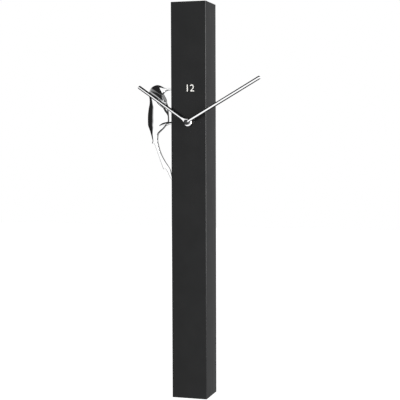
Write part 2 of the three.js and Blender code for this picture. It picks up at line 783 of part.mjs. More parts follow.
function makePivot() {
  const half = innerHalf - seatGap;
  // the left end stands clear of the grommet's flange
  const grommetFrontY = middleY - slotWidth / 2 - grommetFlange - seatGap;
  const beam = block(-half, half, blockFrontY, blockBackY, -7, 7)
    .subtract(barY(pivotPinRadius + 0.1, blockFrontY + 2, blockBackY + 1))
    .subtract(block(-innerHalf - 1, -innerHalf + 2, grommetFrontY, blockBackY + 1, -8, 8));
  addPart(hubGroup, "pivot_block", beam, finishes.wood);
  const pinEnd = rockerBackY + 5;
  const pin = barY(pivotPinRadius, blockFrontY + 2.2, pinEnd).subtract(
    barY(4, pinEnd - 1.8, pinEnd - 1).subtract(barY(1.4, pinEnd - 2, pinEnd)),
  );
  addPart(hubGroup, "pivot_pin", pin, finishes.steel);
  const clip = barY(3.6, pinEnd - 1.7, pinEnd - 1.1)
    .subtract(barY(1.5, pinEnd - 2, pinEnd))
    .subtract(block(-1.2, 1.2, pinEnd - 2, pinEnd, -5, 0));
  addPart(hubGroup, "pivot_clip", clip, finishes.steel);
}

function makeRocker() {
  const armHalf = 3;
  const shape = outline([
    [-armEnd, -armHalf],
    [-7, -armHalf],
    [-4.5, -9],
    [-4.5, -20],
    [4.5, -20],
    [4.5, -9],
    [7, -armHalf],
    [armEnd, -armHalf],
    [armEnd, armHalf],
    [7, armHalf],
    [4, 8],
    [-4, 8],
    [-7, armHalf],
    [-armEnd, armHalf],
  ]);
  const rocker = plate(shape, rockerFrontY, rockerBackY).subtract(
    barY(bearingRadius + 0.15, rockerFrontY - 1, rockerBackY + 1),
  );
  addPart(hubGroup, "rocker_plate", rocker, finishes.aluminium);
  const bearing = barY(bearingRadius, rockerFrontY - 1, rockerBackY + 2)
    .add(barY(bearingRadius + 1.5, rockerBackY + 0.15, rockerBackY + 1))
    .subtract(barY(pivotPinRadius + 0.08, rockerFrontY - 3, rockerBackY + 3, 0, 0, 32));
  addPart(hubGroup, "rocker_bearing", bearing, finishes.brass);

  const rodY = rockerFrontY - 0.2 - 1.5;
  const rodTop = -12;
  const bobLow = -pendulumDrop - bobRadius;
  const rod = barZ(1.5, bobLow - 10, rodTop, 0, rodY, 12);
  addPart(hubGroup, "pendulum_rod", rod, finishes.steel);
  const lens = turned([
    [0, -bobThickness / 2],
    [bobRadius * 0.6, -bobThickness * 0.42],
    [bobRadius, -bobThickness * 0.12],
    [bobRadius, bobThickness * 0.12],
    [bobRadius * 0.6, bobThickness * 0.42],
    [0, bobThickness / 2],
  ]).translate([0, rodY, -pendulumDrop]);
  addPart(hubGroup, "pendulum_bob", lens.subtract(barZ(1.8, bobLow - 5, 0, 0, rodY, 12)), finishes.brass);
  const nut = barZ(4, bobLow - 4, bobLow - 0.5, 0, rodY, 20).subtract(
    barZ(1.8, bobLow - 6, bobLow + 2, 0, rodY, 12),
  );
  addPart(hubGroup, "rating_nut", nut, finishes.brass);

  const shoe = rodY - 1.5 - 0.2;
  addPart(hubGroup, "swing_magnet", barY(4, shoe - 2, shoe, 0, -28, 20), finishes.magnet);

  const weightLeft = counterweightOffset - counterweightWidth / 2;
  const weightRight = counterweightOffset + counterweightWidth / 2;
  const armRoom = armHalf + seatGap;
  const weight = block(weightLeft, weightRight, rockerFrontY - 1.6, rockerBackY + 14, -19.1, 7).subtract(
    block(0, armEnd + 1, rockerFrontY - seatGap, rockerBackY + seatGap, -armRoom, armRoom),
  );
  addPart(hubGroup, "counterweight", weight, finishes.steel);
}

function makeSwingCoil() {
  const front = coverBackY + 0.2;
  const back = rockerFrontY - 0.2 - 3 - 0.2 - 2 - 0.7;
  const coil = barY(5, front, back, 0, -28, 24).subtract(barY(1.5, front + 1, back + 1, 0, -28, 16));
  addPart(hubGroup, "swing_coil", coil, finishes.copper);
}

// The bird, drawn from the pivot in x (towards the column) and z. Its back and its front are smooth
// curves down the body; the wing tip and the outer tail feather each end in a small step.
const birdRight = -columnWidth / 2 - birdGap;

function birdLevels() {
  // height, back, front, half thickness: x is measured from the beak's tip, away from the column
  return [
    [67.8, -34, -29, 0.8],
    [66.6, -38, -24, 4],
    [64, -43, -20.5, 6.4],
    [60, -46, -19, 8],
    [55, -47.4, -19, 9],
    [50, -46.8, -20.4, 9.4],
    [45, -46, -18.6, 9.6],
    [38, -45.8, -14.8, 10],
    [31, -47, -11.6, 10.4],
    [22, -48.8, -10.6, 11],
    [12, -49.8, -10, 11.4],
    [3, -50, -10, 11.2],
    [-5, -49.4, -15.6, 10.6],
    [-12, -47, -21.4, 9.8],
    [-18, -45, -28.4, 8.6],
    [-26, -42.4, -31, 7.4],
    [-33, -40.4, -31.4, 6.4],
    [-36.6, -42, -30.6, 5.4],
    [-37.4, -37, -30.4, 4.8],
    [-48, -33, -27.4, 4.2],
    [-60, -29, -22.4, 3.8],
    [-72, -24.6, -15.4, 3.4],
    [-81, -21.4, -9.4, 3],
    [-83.4, -20.4, -8, 2.8],
    [-84.2, -16, -7.4, 2.6],
    [-95, -10.4, -4.6, 2],
    [-103, -5.6, -3.6, 0.8],
  ];
}

// A body lofted through level sections, shrunk all round by inset.
function loftBird(levels, inset) {
  const sides = 16;
  const power = 0.72;
  const places = [];
  for (const [z, back, front, half] of levels) {
    const middle = (back + front) / 2;
    const reach = (front - back) / 2 - inset;
    for (let i = 0; i < sides; i += 1) {
      const turn = (i * 2 * Math.PI) / sides;
      const across = Math.sign(Math.cos(turn)) * Math.abs(Math.cos(turn)) ** power;
      const out = Math.sign(Math.sin(turn)) * Math.abs(Math.sin(turn)) ** power;
      places.push(birdRight + middle + reach * across, middleY + (half - inset) * out, z);
    }
  }
  const triangles = [];
  for (let level = 0; level + 1 < levels.length; level += 1) {
    for (let i = 0; i < sides; i += 1) {
      const next = (i + 1) % sides;
      const a = level * sides + i;
      const b = level * sides + next;
      triangles.push(a, b, a + sides, b, b + sides, a + sides);
    }
  }
  const lastRow = (levels.length - 1) * sides;
  for (let i = 1; i + 1 < sides; i += 1) {
    triangles.push(0, i + 1, i);
    triangles.push(lastRow, lastRow + i, lastRow + i + 1);
  }
  const geometry = new THREE.BufferGeometry();
  geometry.setAttribute("position", new THREE.Float32BufferAttribute(places, 3));
  geometry.setIndex(triangles);
  return toSolid(geometry);
}

function makeBird() {
  const levels = birdLevels();
  const beakProfile = [
    [0, 0.5],
    [0.6, 0.5],
    [2.2, 12],
    [4.8, 21],
    [6, 27],
    [0, 27],
  ];
  const beak = toSolid(
    new THREE.LatheGeometry(beakProfile.map(([r, along]) => new THREE.Vector2(r, along)), 16)
      .rotateZ(Math.PI / 2)
      .translate(birdRight, middleY, 59.6),
  );
  const legPoints = [
    [-armEnd + 0.5, -0.4],
    [-columnWidth / 2, -0.4],
    [birdRight - 9, -1.4],
    [birdRight - 18, -5],
    [birdRight - 29, -9],
  ].map(([x, z]) => new THREE.Vector3(x, middleY, z));
  const legPath = new THREE.CatmullRomCurve3(legPoints);
  const legTube = (radius) => {
    const section = new THREE.Shape();
    section.absarc(0, 0, radius, 0, 2 * Math.PI, false);
    const settings = { extrudePath: legPath, steps: 16, bevelEnabled: false, curveSegments: 6 };
    return toSolid(new THREE.ExtrudeGeometry(section, settings));
  };
  const core = loftBird(levels.slice(2, 18), birdShell);
  const body = loftBird(levels, 0)
    .add(beak)
    .subtract(core)
    .subtract(legTube(legRadius + seatGap));
  const split = seatGap / 2;
  const far = 200;
  const frontHalf = body.subtract(block(-far, far, middleY - split, far, -far, far));
  const rearHalf = body.subtract(block(-far, far, -far, middleY + split, -far, far));
  addPart(hubGroup, "bird_front_half", frontHalf, finishes.chrome);
  addPart(hubGroup, "bird_rear_half", rearHalf, finishes.chrome);

  const rockerRoom = block(-armEnd - seatGap, 0, rockerFrontY - seatGap, rockerBackY + seatGap, -6, 6);
  addPart(hubGroup, "bird_leg", legTube(legRadius).subtract(rockerRoom), finishes.chrome);
}

makeCase();
makeBoards();
makePanel();
makeHanger();
makeDoor();
makeGrommet();
makeHousing();
makeBushAndNut();
makeTrain();
makeElectronics();
makeBattery();
makeHands();
makePivot();
makeRocker();
makeSwingCoil();
makeBird();

export default clock;
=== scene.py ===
from math import copysign, cos, pi, radians, sin

import bmesh
import bpy
from mathutils import Matrix, Vector


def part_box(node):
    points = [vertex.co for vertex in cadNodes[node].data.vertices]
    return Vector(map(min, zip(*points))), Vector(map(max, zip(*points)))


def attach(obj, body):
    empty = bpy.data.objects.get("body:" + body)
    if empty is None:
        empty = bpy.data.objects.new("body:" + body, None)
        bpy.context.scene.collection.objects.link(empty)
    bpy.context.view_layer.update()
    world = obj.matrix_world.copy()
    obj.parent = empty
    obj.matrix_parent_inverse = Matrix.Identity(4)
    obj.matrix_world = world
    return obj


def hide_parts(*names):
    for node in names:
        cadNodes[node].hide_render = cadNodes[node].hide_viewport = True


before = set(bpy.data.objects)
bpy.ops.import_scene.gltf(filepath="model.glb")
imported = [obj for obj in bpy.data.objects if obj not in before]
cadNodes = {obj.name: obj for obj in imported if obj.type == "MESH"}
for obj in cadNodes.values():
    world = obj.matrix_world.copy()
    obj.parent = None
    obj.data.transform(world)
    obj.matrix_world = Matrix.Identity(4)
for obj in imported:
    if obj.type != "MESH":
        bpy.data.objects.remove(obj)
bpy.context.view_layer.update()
scene = bpy.context.scene
mm = 0.001

# places that the pieces below are built from
caseLow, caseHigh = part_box("case_shell")
nutLow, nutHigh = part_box("hand_nut")
hub = Vector(((nutLow.x + nutHigh.x) / 2, caseLow.y, (nutLow.z + nutHigh.z) / 2))
birdMiddle = Vector((0, (caseLow.y + caseHigh.y) / 2, hub.z))


# Camera
cameraView = {
    "place": (0.56093, -1.86336, -0.19888),
    "turn": (86.7196, 0.1862, 16.7146),  # degrees
    "lens": 96.48,
    "sensor": 36,
    "nearest": 0.01,
}


def placeCamera():
    camera = bpy.data.objects.new("clockCamera", bpy.data.cameras.new("clockCamera"))
    camera.location = cameraView["place"]
    camera.rotation_euler = [radians(angle) for angle in cameraView["turn"]]
    camera.data.lens = cameraView["lens"]
    camera.data.sensor_width = cameraView["sensor"]
    camera.data.clip_start = cameraView["nearest"]
    scene.collection.objects.link(camera)
    scene.camera = camera


placeCamera()
print("camera placed")


# Studio: a pale floor far below, soft panels in front, on the right and behind, darkness round them,
# and two area lamps
studio = {
    "floorDrop": 1.0,  # below the column
    "floorSize": 30,
    "floorColor": (0.9, 0.9, 0.9),
    "floorRoughness": 0.9,
    "floorGlow": 1.0,
    "viewTransform": "Standard",
    "darkness": 0.02,
    # each soft panel: axis, angles from it where it is full and gone, heights above and then
    # below the horizon where it is full and gone, brightness
    "frontDome": ((0.286, -0.956, 0.057), (58, 74), (20, 29), (45, 57), 1.14),
    "rightWing": ((0.97, 0.02, 0.0), (50, 62), (22, 34), (50, 64), 1.0),
    "backGlow": ((0.50, 0.866, -0.03), (22, 42), (24, 40), (40, 60), 0.3),
    # area lamps: place, aim, width, height, watts, seen in reflections
    "sideSoftbox": ((1.27, -0.44, -0.10), (0.03, -0.06, -0.14), 1.4, 1.1, 50, True),
    "backFill": ((-0.35, 1.6, 0.6), (0, 0, -0.2), 1.2, 1.2, 34, False),
}


def makeFloor():
    half = studio["floorSize"] / 2
    level = caseLow.z - studio["floorDrop"]
    corners = [(-half, -half, level), (half, -half, level), (half, half, level), (-half, half, level)]
    mesh = bpy.data.meshes.new("studioFloor")
    mesh.from_pydata(corners, [], [(0, 1, 2, 3)])
    floor = bpy.data.objects.new("studioFloor", mesh)
    scene.collection.objects.link(floor)
    paint = bpy.data.materials.new("paleFloor")
    paint.use_nodes = True
    shader = paint.node_tree.nodes["Principled BSDF"]
    shader.inputs["Base Color"].default_value = (*studio["floorColor"], 1)
    shader.inputs["Roughness"].default_value = studio["floorRoughness"]
    shader.inputs["Emission Color"].default_value = (1, 1, 1, 1)
    shader.inputs["Emission Strength"].default_value = studio["floorGlow"]
    mesh.materials.append(paint)
    floor.visible_glossy = False  # the polished parts see the darkness below the panels instead
    floor.visible_diffuse = False


def fadeBetween(tree, value, gone, full):
    fade = tree.nodes.new("ShaderNodeMapRange")
    fade.interpolation_type = "SMOOTHSTEP"
    tree.links.new(value, fade.inputs["Value"])
    fade.inputs["From Min"].default_value = gone
    fade.inputs["From Max"].default_value = full
    return fade.outputs["Result"]


def mathStep(tree, operation, first, second=None):
    step = tree.nodes.new("ShaderNodeMath")
    step.operation = operation
    tree.links.new(first, step.inputs[0])
    if isinstance(second, (int, float)):
        step.inputs[1].default_value = second
    elif second:
        tree.links.new(second, step.inputs[1])
    return step.outputs[0]


def softPanel(tree, direction, height, axis, around, above, below, brightness):
    towards = tree.nodes.new("ShaderNodeVectorMath")
    towards.operation = "DOT_PRODUCT"
    tree.links.new(direction, towards.inputs[0])
    towards.inputs[1].default_value = Vector(axis).normalized()
    full, gone = around
    disc = fadeBetween(tree, towards.outputs["Value"], cos(radians(gone)), cos(radians(full)))
    full, gone = above
    top = fadeBetween(tree, height, sin(radians(gone)), sin(radians(full)))
    full, gone = below
    bottom = fadeBetween(tree, height, -sin(radians(gone)), -sin(radians(full)))
    band = mathStep(tree, "MULTIPLY", top, bottom)
    return mathStep(tree, "MULTIPLY", mathStep(tree, "MULTIPLY", disc, band), brightness)


def makeWorld():
    world = bpy.data.worlds.new("studioAir")
    world.use_nodes = True
    scene.world = world
    tree = world.node_tree
    tree.nodes.clear()
    direction = tree.nodes.new("ShaderNodeTexCoord").outputs["Generated"]
    parts = tree.nodes.new("ShaderNodeSeparateXYZ")
    tree.links.new(direction, parts.inputs[0])
    height = parts.outputs["Z"]
    names = ("frontDome", "rightWing", "backGlow")
    panels = [softPanel(tree, direction, height, *studio[name]) for name in names]
    glow = panels[0]
    for panel in panels[1:]:
        glow = mathStep(tree, "MAXIMUM", glow, panel)
    lifted = mathStep(tree, "ADD", glow, studio["darkness"])
    lamps = tree.nodes.new("ShaderNodeBackground")
    tree.links.new(lifted, lamps.inputs["Strength"])
    paper = tree.nodes.new("ShaderNodeBackground")  # what shows behind the clock
    for background in (lamps, paper):
        background.inputs["Color"].default_value = (1, 1, 1, 1)
    rays = tree.nodes.new("ShaderNodeLightPath")
    either = tree.nodes.new("ShaderNodeMixShader")
    tree.links.new(rays.outputs["Is Camera Ray"], either.inputs[0])
    tree.links.new(lamps.outputs[0], either.inputs[1])
    tree.links.new(paper.outputs[0], either.inputs[2])
    output = tree.nodes.new("ShaderNodeOutputWorld")
    tree.links.new(either.outputs[0], output.inputs["Surface"])


def makeLamp(name):
    place, aim, width, height, watts, seen = studio[name]
    light = bpy.data.lights.new(name, "AREA")
    light.shape = "RECTANGLE"
    light.size = width
    light.size_y = height
    light.energy = watts
    lamp = bpy.data.objects.new(name, light)
    lamp.location = place
    lamp.rotation_euler = (Vector(aim) - Vector(place)).to_track_quat("-Z", "Y").to_euler()
    lamp.visible_camera = False
    lamp.visible_glossy = seen
    scene.collection.objects.link(lamp)


scene.view_settings.view_transform = studio["viewTransform"]
makeFloor()
makeWorld()
makeLamp("sideSoftbox")
makeLamp("backFill")
print("studio lit")


# Node helpers shared by the finishes
def startFinish(name, color, roughness, metallic=0.0):
    finish = bpy.data.materials.new(name)
    finish.use_nodes = True
    shader = finish.node_tree.nodes["Principled BSDF"]
    shader.inputs["Base Color"].default_value = (*color, 1)
    shader.inputs["Roughness"].default_value = roughness
    shader.inputs["Metallic"].default_value = metallic
    return finish, finish.node_tree, shader


def ownPlace(tree, stretch=(1, 1, 1)):
    coords = tree.nodes.new("ShaderNodeTexCoord")
    mapping = tree.nodes.new("ShaderNodeMapping")
    mapping.inputs["Scale"].default_value = stretch
    tree.links.new(coords.outputs["Object"], mapping.inputs["Vector"])
    return mapping.outputs["Vector"]


def speckle(tree, place, scale, detail=3, distortion=0.0):
    noise = tree.nodes.new("ShaderNodeTexNoise")
    noise.inputs["Scale"].default_value = scale
    noise.inputs["Detail"].default_value = detail
    noise.inputs["Distortion"].default_value = distortion
    tree.links.new(place, noise.inputs["Vector"])
    return noise.outputs["Fac"]


def between(tree, value, low, high, fromLow=0.3, fromHigh=0.7):
    spread = tree.nodes.new("ShaderNodeMapRange")
    tree.links.new(value, spread.inputs["Value"])
    spread.inputs["From Min"].default_value = fromLow
    spread.inputs["From Max"].default_value = fromHigh
    spread.inputs["To Min"].default_value = low
    spread.inputs["To Max"].default_value = high
    return spread.outputs["Result"]


def tint(tree, value, stops):
    ramp = tree.nodes.new("ShaderNodeValToRGB")
    elements = ramp.color_ramp.elements
    while len(elements) < len(stops):
        elements.new(0.5)
    for element, (position, color) in zip(elements, stops):
        element.position = position
        element.color = (*color, 1)
    tree.links.new(value, ramp.inputs["Fac"])
    return ramp.outputs["Color"]


def liftSurface(tree, shader, height, strength, depth):
    bump = tree.nodes.new("ShaderNodeBump")
    bump.inputs["Strength"].default_value = strength
    bump.inputs["Distance"].default_value = depth
    tree.links.new(height, bump.inputs["Height"])
    tree.links.new(bump.outputs["Normal"], shader.inputs["Normal"])


def bands(tree, place, scale, direction, distortion=0.0, detail=2.0):
    wave = tree.nodes.new("ShaderNodeTexWave")
    wave.bands_direction = direction
    wave.inputs["Scale"].default_value = scale
    wave.inputs["Distortion"].default_value = distortion
    wave.inputs["Detail"].default_value = detail
    tree.links.new(place, wave.inputs["Vector"])
    return wave.outputs["Fac"]


# Finishes. A texture is its scale, detail and twist. Two shades meet at the stops, the spread is how far
# the roughness strays from the gloss value, and the relief is the bump's strength and its depth in metres
def paintBetween(tree, shader, value, stops, *colors):
    tree.links.new(tint(tree, value, list(zip(stops, colors))), shader.inputs["Base Color"])


def varyGloss(tree, shader, value, gloss, spread):
    less, more = spread
    tree.links.new(between(tree, value, gloss + less, gloss + more), shader.inputs["Roughness"])


lacquer = {
    "color": (0.0045, 0.0047, 0.0050),
    "worn": (0.0065, 0.0067, 0.0070),
    "cloud": (35, 4),
    "stops": (0.35, 0.7),
    "gloss": 0.3,
    "spread": (-0.03, 0.04),
    "specular": 0.23,
    "wipeStretch": (90, 90, 9),
    "wipe": (1.0, 5, 0.6),
    "peel": (520, 2),
    "relief": (0.06, 0.0001),
}


def makeLacquer(name):
    finish, tree, shader = startFinish(name, lacquer["color"], lacquer["gloss"])
    shader.inputs["Specular IOR Level"].default_value = lacquer["specular"]
    place = ownPlace(tree)
    cloud = speckle(tree, place, *lacquer["cloud"])
    paintBetween(tree, shader, cloud, lacquer["stops"], lacquer["color"], lacquer["worn"])
    wiped = speckle(tree, ownPlace(tree, lacquer["wipeStretch"]), *lacquer["wipe"])
    varyGloss(tree, shader, wiped, lacquer["gloss"], lacquer["spread"])
    liftSurface(tree, shader, speckle(tree, place, *lacquer["peel"]), *lacquer["relief"])
    return finish


chrome = {
    "color": (0.93, 0.935, 0.94),
    "darkShare": 0.965,
    "cloud": (60, 2),
    "stops": (0.3, 0.7),
    "gloss": 0.03,
    "spread": (-0.012, 0.03),
    "haze": (260, 4, 0.3),
    "ripple": (140, 1),
    "relief": (0.03, 0.0001),
}


def makeChrome(name):
    finish, tree, shader = startFinish(name, chrome["color"], chrome["gloss"], 1.0)
    place = ownPlace(tree)
    varyGloss(tree, shader, speckle(tree, place, *chrome["haze"]), chrome["gloss"], chrome["spread"])
    darker = tuple(part * chrome["darkShare"] for part in chrome["color"])
    cloud = speckle(tree, place, *chrome["cloud"])
    paintBetween(tree, shader, cloud, chrome["stops"], darker, chrome["color"])
    liftSurface(tree, shader, speckle(tree, place, *chrome["ripple"]), *chrome["relief"])
    return finish


metals = {
    "aluminium": {
        "dark": (0.60, 0.61, 0.62),
        "light": (0.74, 0.745, 0.75),
        "gloss": 0.32,
        "grain": (60, 2400, 2400),
    },
    "steel": {
        "dark": (0.47, 0.48, 0.49),
        "light": (0.66, 0.665, 0.66),
        "gloss": 0.28,
        "grain": (900, 900, 300),
    },
    "brass": {
        "dark": (0.58, 0.40, 0.15),
        "light": (0.80, 0.60, 0.27),
        "gloss": 0.24,
        "grain": (700, 2600, 700),
    },
    "magnet_steel": {
        "dark": (0.22, 0.225, 0.24),
        "light": (0.36, 0.365, 0.38),
        "gloss": 0.3,
        "grain": (900, 900, 900),
    },
}
metalTexture = {
    "brushing": (1.0, 4),
    "mottle": (240, 3),
    "stops": (0.3, 0.65),
    "spread": (-0.08, 0.14),
    "relief": (0.12, 0.00006),
}


def makeMetal(name):
    look = metals[name]
    finish, tree, shader = startFinish(name, look["light"], look["gloss"], 1.0)
    brushed = speckle(tree, ownPlace(tree, look["grain"]), *metalTexture["brushing"])
    mottled = speckle(tree, ownPlace(tree), *metalTexture["mottle"])
    paintBetween(tree, shader, mottled, metalTexture["stops"], look["dark"], look["light"])
    varyGloss(tree, shader, brushed, look["gloss"], metalTexture["spread"])
    liftSurface(tree, shader, brushed, *metalTexture["relief"])
    return finish


plastics = {
    "black_plastic": {
        "dark": (0.012, 0.012, 0.013),
        "light": (0.024, 0.024, 0.026),
        "gloss": 0.42,
        "grit": (2600, 3),
    },
    "white_plastic": {
        "dark": (0.70, 0.69, 0.65),
        "light": (0.82, 0.81, 0.77),
        "gloss": 0.40,
        "grit": (1800, 3),
    },
    "black_rubber": {
        "dark": (0.010, 0.010, 0.010),
        "light": (0.026, 0.026, 0.026),
        "gloss": 0.82,
        "grit": (1400, 3),
    },
}
plasticTexture = {
    "flow": (90, 4, 0.8),
    "stops": (0.3, 0.7),
    "spread": (-0.06, 0.1),
    "relief": (0.22, 0.00008),
}


def makePlastic(name):
    look = plastics[name]
    finish, tree, shader = startFinish(name, look["light"], look["gloss"])
    grit = speckle(tree, ownPlace(tree), *look["grit"])
    flow = speckle(tree, ownPlace(tree), *plasticTexture["flow"])
    paintBetween(tree, shader, flow, plasticTexture["stops"], look["dark"], look["light"])
    varyGloss(tree, shader, grit, look["gloss"], plasticTexture["spread"])
    liftSurface(tree, shader, grit, *plasticTexture["relief"])
    return finish


timber = {
    "early": (0.66, 0.48, 0.30),
    "late": (0.40, 0.25, 0.13),
    "stretch": (1, 1, 0.07),
    "rings": (90, "DIAGONAL", 6.0, 3.0),  # scale, direction, twist and detail
    "stops": (0.25, 0.9),
    "gloss": 0.62,
    "spread": (-0.1, 0.15),
    "poreStretch": (2600, 2600, 110),
    "pores": (1.0, 3),
    "relief": (0.35, 0.00015),
}


def makeTimber(name):
    finish, tree, shader = startFinish(name, timber["early"], timber["gloss"])
    rings = bands(tree, ownPlace(tree, timber["stretch"]), *timber["rings"])
    pores = speckle(tree, ownPlace(tree, timber["poreStretch"]), *timber["pores"])
    paintBetween(tree, shader, rings, timber["stops"], timber["early"], timber["late"])
    varyGloss(tree, shader, pores, timber["gloss"], timber["spread"])
    liftSurface(tree, shader, pores, *timber["relief"])
    return finish


winding = {
    "wire": (0.62, 0.27, 0.11),
    # the darker tone is painted shade in the grooves between the wire's turns
    "paintedGrooveShade": (0.23, 0.08, 0.03),
    "metallic": 0.9,
    "turnsScale": 900,
    "turnsTwist": 0.4,
    "stops": (0.1, 0.6),
    "gloss": 0.3,
    "spread": (-0.08, 0.12),
    "enamel": (700, 3),
    "relief": (0.6, 0.00012),
}


def makeWinding(name, direction):
    finish, tree, shader = startFinish(name, winding["wire"], winding["gloss"], winding["metallic"])
    turns = bands(tree, ownPlace(tree), winding["turnsScale"], direction, winding["turnsTwist"])
    # the bands darken the wire towards its grooves: painted shade between the turns
    paintBetween(tree, shader, turns, winding["stops"], winding["paintedGrooveShade"], winding["wire"])
    enamel = speckle(tree, ownPlace(tree), *winding["enamel"])
    varyGloss(tree, shader, enamel, winding["gloss"], winding["spread"])
    liftSurface(tree, shader, turns, *winding["relief"])
    return finish


circuit = {
    "mask": (0.008, 0.085, 0.03),
    "track": (0.02, 0.20, 0.07),
    "trackScale": 260,
    "trackWidth": 0.035,
    "gloss": 0.25,
    "spread": (-0.05, 0.1),
    "weave": (1500, 2),
    "relief": (0.3, 0.00006),
}


def makeCircuit(name):
    finish, tree, shader = startFinish(name, circuit["mask"], circuit["gloss"])
    tracks = tree.nodes.new("ShaderNodeTexBrick")
    tree.links.new(ownPlace(tree), tracks.inputs["Vector"])
    tracks.inputs["Scale"].default_value = circuit["trackScale"]
    tracks.inputs["Color1"].default_value = (*circuit["mask"], 1)
    tracks.inputs["Color2"].default_value = (*circuit["track"], 1)
    tracks.inputs["Mortar"].default_value = (*circuit["track"], 1)
    tracks.inputs["Mortar Size"].default_value = circuit["trackWidth"]
    tree.links.new(tracks.outputs["Color"], shader.inputs["Base Color"])
    weave = speckle(tree, ownPlace(tree), *circuit["weave"])
    varyGloss(tree, shader, weave, circuit["gloss"], circuit["spread"])
    liftSurface(tree, shader, tracks.outputs["Fac"], *circuit["relief"])
    return finish


cell = {
    "jacket": (0.018, 0.045, 0.14),
    "band": (0.72, 0.42, 0.16),
    "tin": (0.62, 0.62, 0.60),
    "bandStarts": (0.0, 0.03, 0.70, 0.96),  # shares of its length where tin, jacket, band and tin begin
    "metallic": 0.35,
    "gloss": 0.25,
    "spread": (-0.05, 0.15),
    "scuffStretch": (300, 900, 900),
    "scuffs": (1.0, 4),
    "relief": (0.05, 0.00005),
}


def makeJacket(name):
    low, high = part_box("battery")
    finish, tree, shader = startFinish(name, cell["jacket"], cell["gloss"], cell["metallic"])
    parts = tree.nodes.new("ShaderNodeSeparateXYZ")
    tree.links.new(ownPlace(tree), parts.inputs[0])
    along = between(tree, parts.outputs["X"], 0, 1, low.x, high.x)
    colors = (cell["tin"], cell["jacket"], cell["band"], cell["tin"])
    color = tint(tree, along, list(zip(cell["bandStarts"], colors)))
    color.node.color_ramp.interpolation = "CONSTANT"
    tree.links.new(color, shader.inputs["Base Color"])
    scuffs = speckle(tree, ownPlace(tree, cell["scuffStretch"]), *cell["scuffs"])
    varyGloss(tree, shader, scuffs, cell["gloss"], cell["spread"])
    liftSurface(tree, shader, scuffs, *cell["relief"])
    return finish


finishes = {
    "case_lacquer": makeLacquer("case_lacquer_finish"),
    "hand_chrome": makeChrome("hand_chrome_finish"),
    "bird_chrome": makeChrome("bird_chrome_finish"),
    "raw_wood": makeTimber("raw_wood_finish"),
    "copper_coil": makeWinding("copper_coil_finish", "X"),
    "green_board": makeCircuit("green_board_finish"),
    "battery_jacket": makeJacket("battery_jacket_finish"),
}
for metalName in metals:
    finishes[metalName] = makeMetal(metalName)
for plasticName in plastics:
    finishes[plasticName] = makePlastic(plasticName)
print(f"{len(finishes)} finishes made")


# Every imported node: its finish, and edges softened where they are sharp
edges = {
    "smoothUpTo": 38,  # degrees between faces that shade as one
    "weld": 0.002,  # millimetres between corners that are joined
    "steps": 3,  # facets across a broken edge
    "broken": {  # width of the broken edge in millimetres
        "case_shell": 0.45,
        "top_board": 0.4,
        "bottom_board": 0.4,
        "rear_panel": 0.35,
        "battery_door": 0.35,
        "hanger_plate": 0.2,
        "batten_left": 0.4,
        "batten_right": 0.4,
        "pivot_block": 0.5,
        "counterweight": 0.4,
        "rocker_plate": 0.2,
        "movement_housing": 0.15,
        "movement_cover": 0.2,
        "circuit_board": 0.1,
        "bush_nut": 0.1,
        "wall_bumper_left": 0.6,
        "wall_bumper_right": 0.6,
        "case_hinge_leaf": 0.1,
        "door_hinge_leaf": 0.1,
    },
}


def makeEdgeGroup():
    group = bpy.data.node_groups.new("softShading", "GeometryNodeTree")
    group.interface.new_socket("Geometry", in_out="INPUT", socket_type="NodeSocketGeometry")
    group.interface.new_socket("Geometry", in_out="OUTPUT", socket_type="NodeSocketGeometry")
    start = group.nodes.new("NodeGroupInput")
    end = group.nodes.new("NodeGroupOutput")
    join = group.nodes.new("GeometryNodeMergeByDistance")
    join.inputs["Distance"].default_value = edges["weld"] * mm
    angle = group.nodes.new("GeometryNodeInputMeshEdgeAngle")
    sharp = group.nodes.new("FunctionNodeCompare")
    sharp.operation = "GREATER_THAN"
    sharp.inputs[1].default_value = radians(edges["smoothUpTo"])
    normals = group.nodes.new("GeometryNodeSetMeshNormal")
    normals.inputs["Remove Custom"].default_value = True
    group.links.new(start.outputs[0], join.inputs["Geometry"])
    group.links.new(join.outputs[0], normals.inputs["Mesh"])
    group.links.new(angle.outputs["Unsigned Angle"], sharp.inputs[0])
    group.links.new(sharp.outputs[0], normals.inputs["Edge Sharpness"])
    group.links.new(normals.outputs[0], end.inputs[0])
    return group


def dressNodes():
    softShading = makeEdgeGroup()
    for name, node in cadNodes.items():
        slotName = node.material_slots[0].material.name
        node.material_slots[0].material = finishes[slotName]
        node.modifiers.new("softShading", "NODES").node_group = softShading
        if name in edges["broken"]:
            broken = node.modifiers.new("brokenEdges", "BEVEL")
            broken.width = edges["broken"][name] * mm
            broken.segments = edges["steps"]
            broken.limit_method = "ANGLE"
            broken.angle_limit = radians(edges["smoothUpTo"])
            broken.harden_normals = True
    swingTurns = makeWinding("swing_coil_finish", "Y")
    cadNodes["swing_coil"].material_slots[0].material = swingTurns


dressNodes()
print(f"{len(cadNodes)} nodes dressed")


# Pieces
def addPiece(name, mesh, body, slotName, *replaced):
    piece = bpy.data.objects.new(name, mesh)
    scene.collection.objects.link(piece)
    mesh.materials.append(finishes[slotName])
    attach(piece, body)
    if replaced:
        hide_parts(*replaced)
    return piece


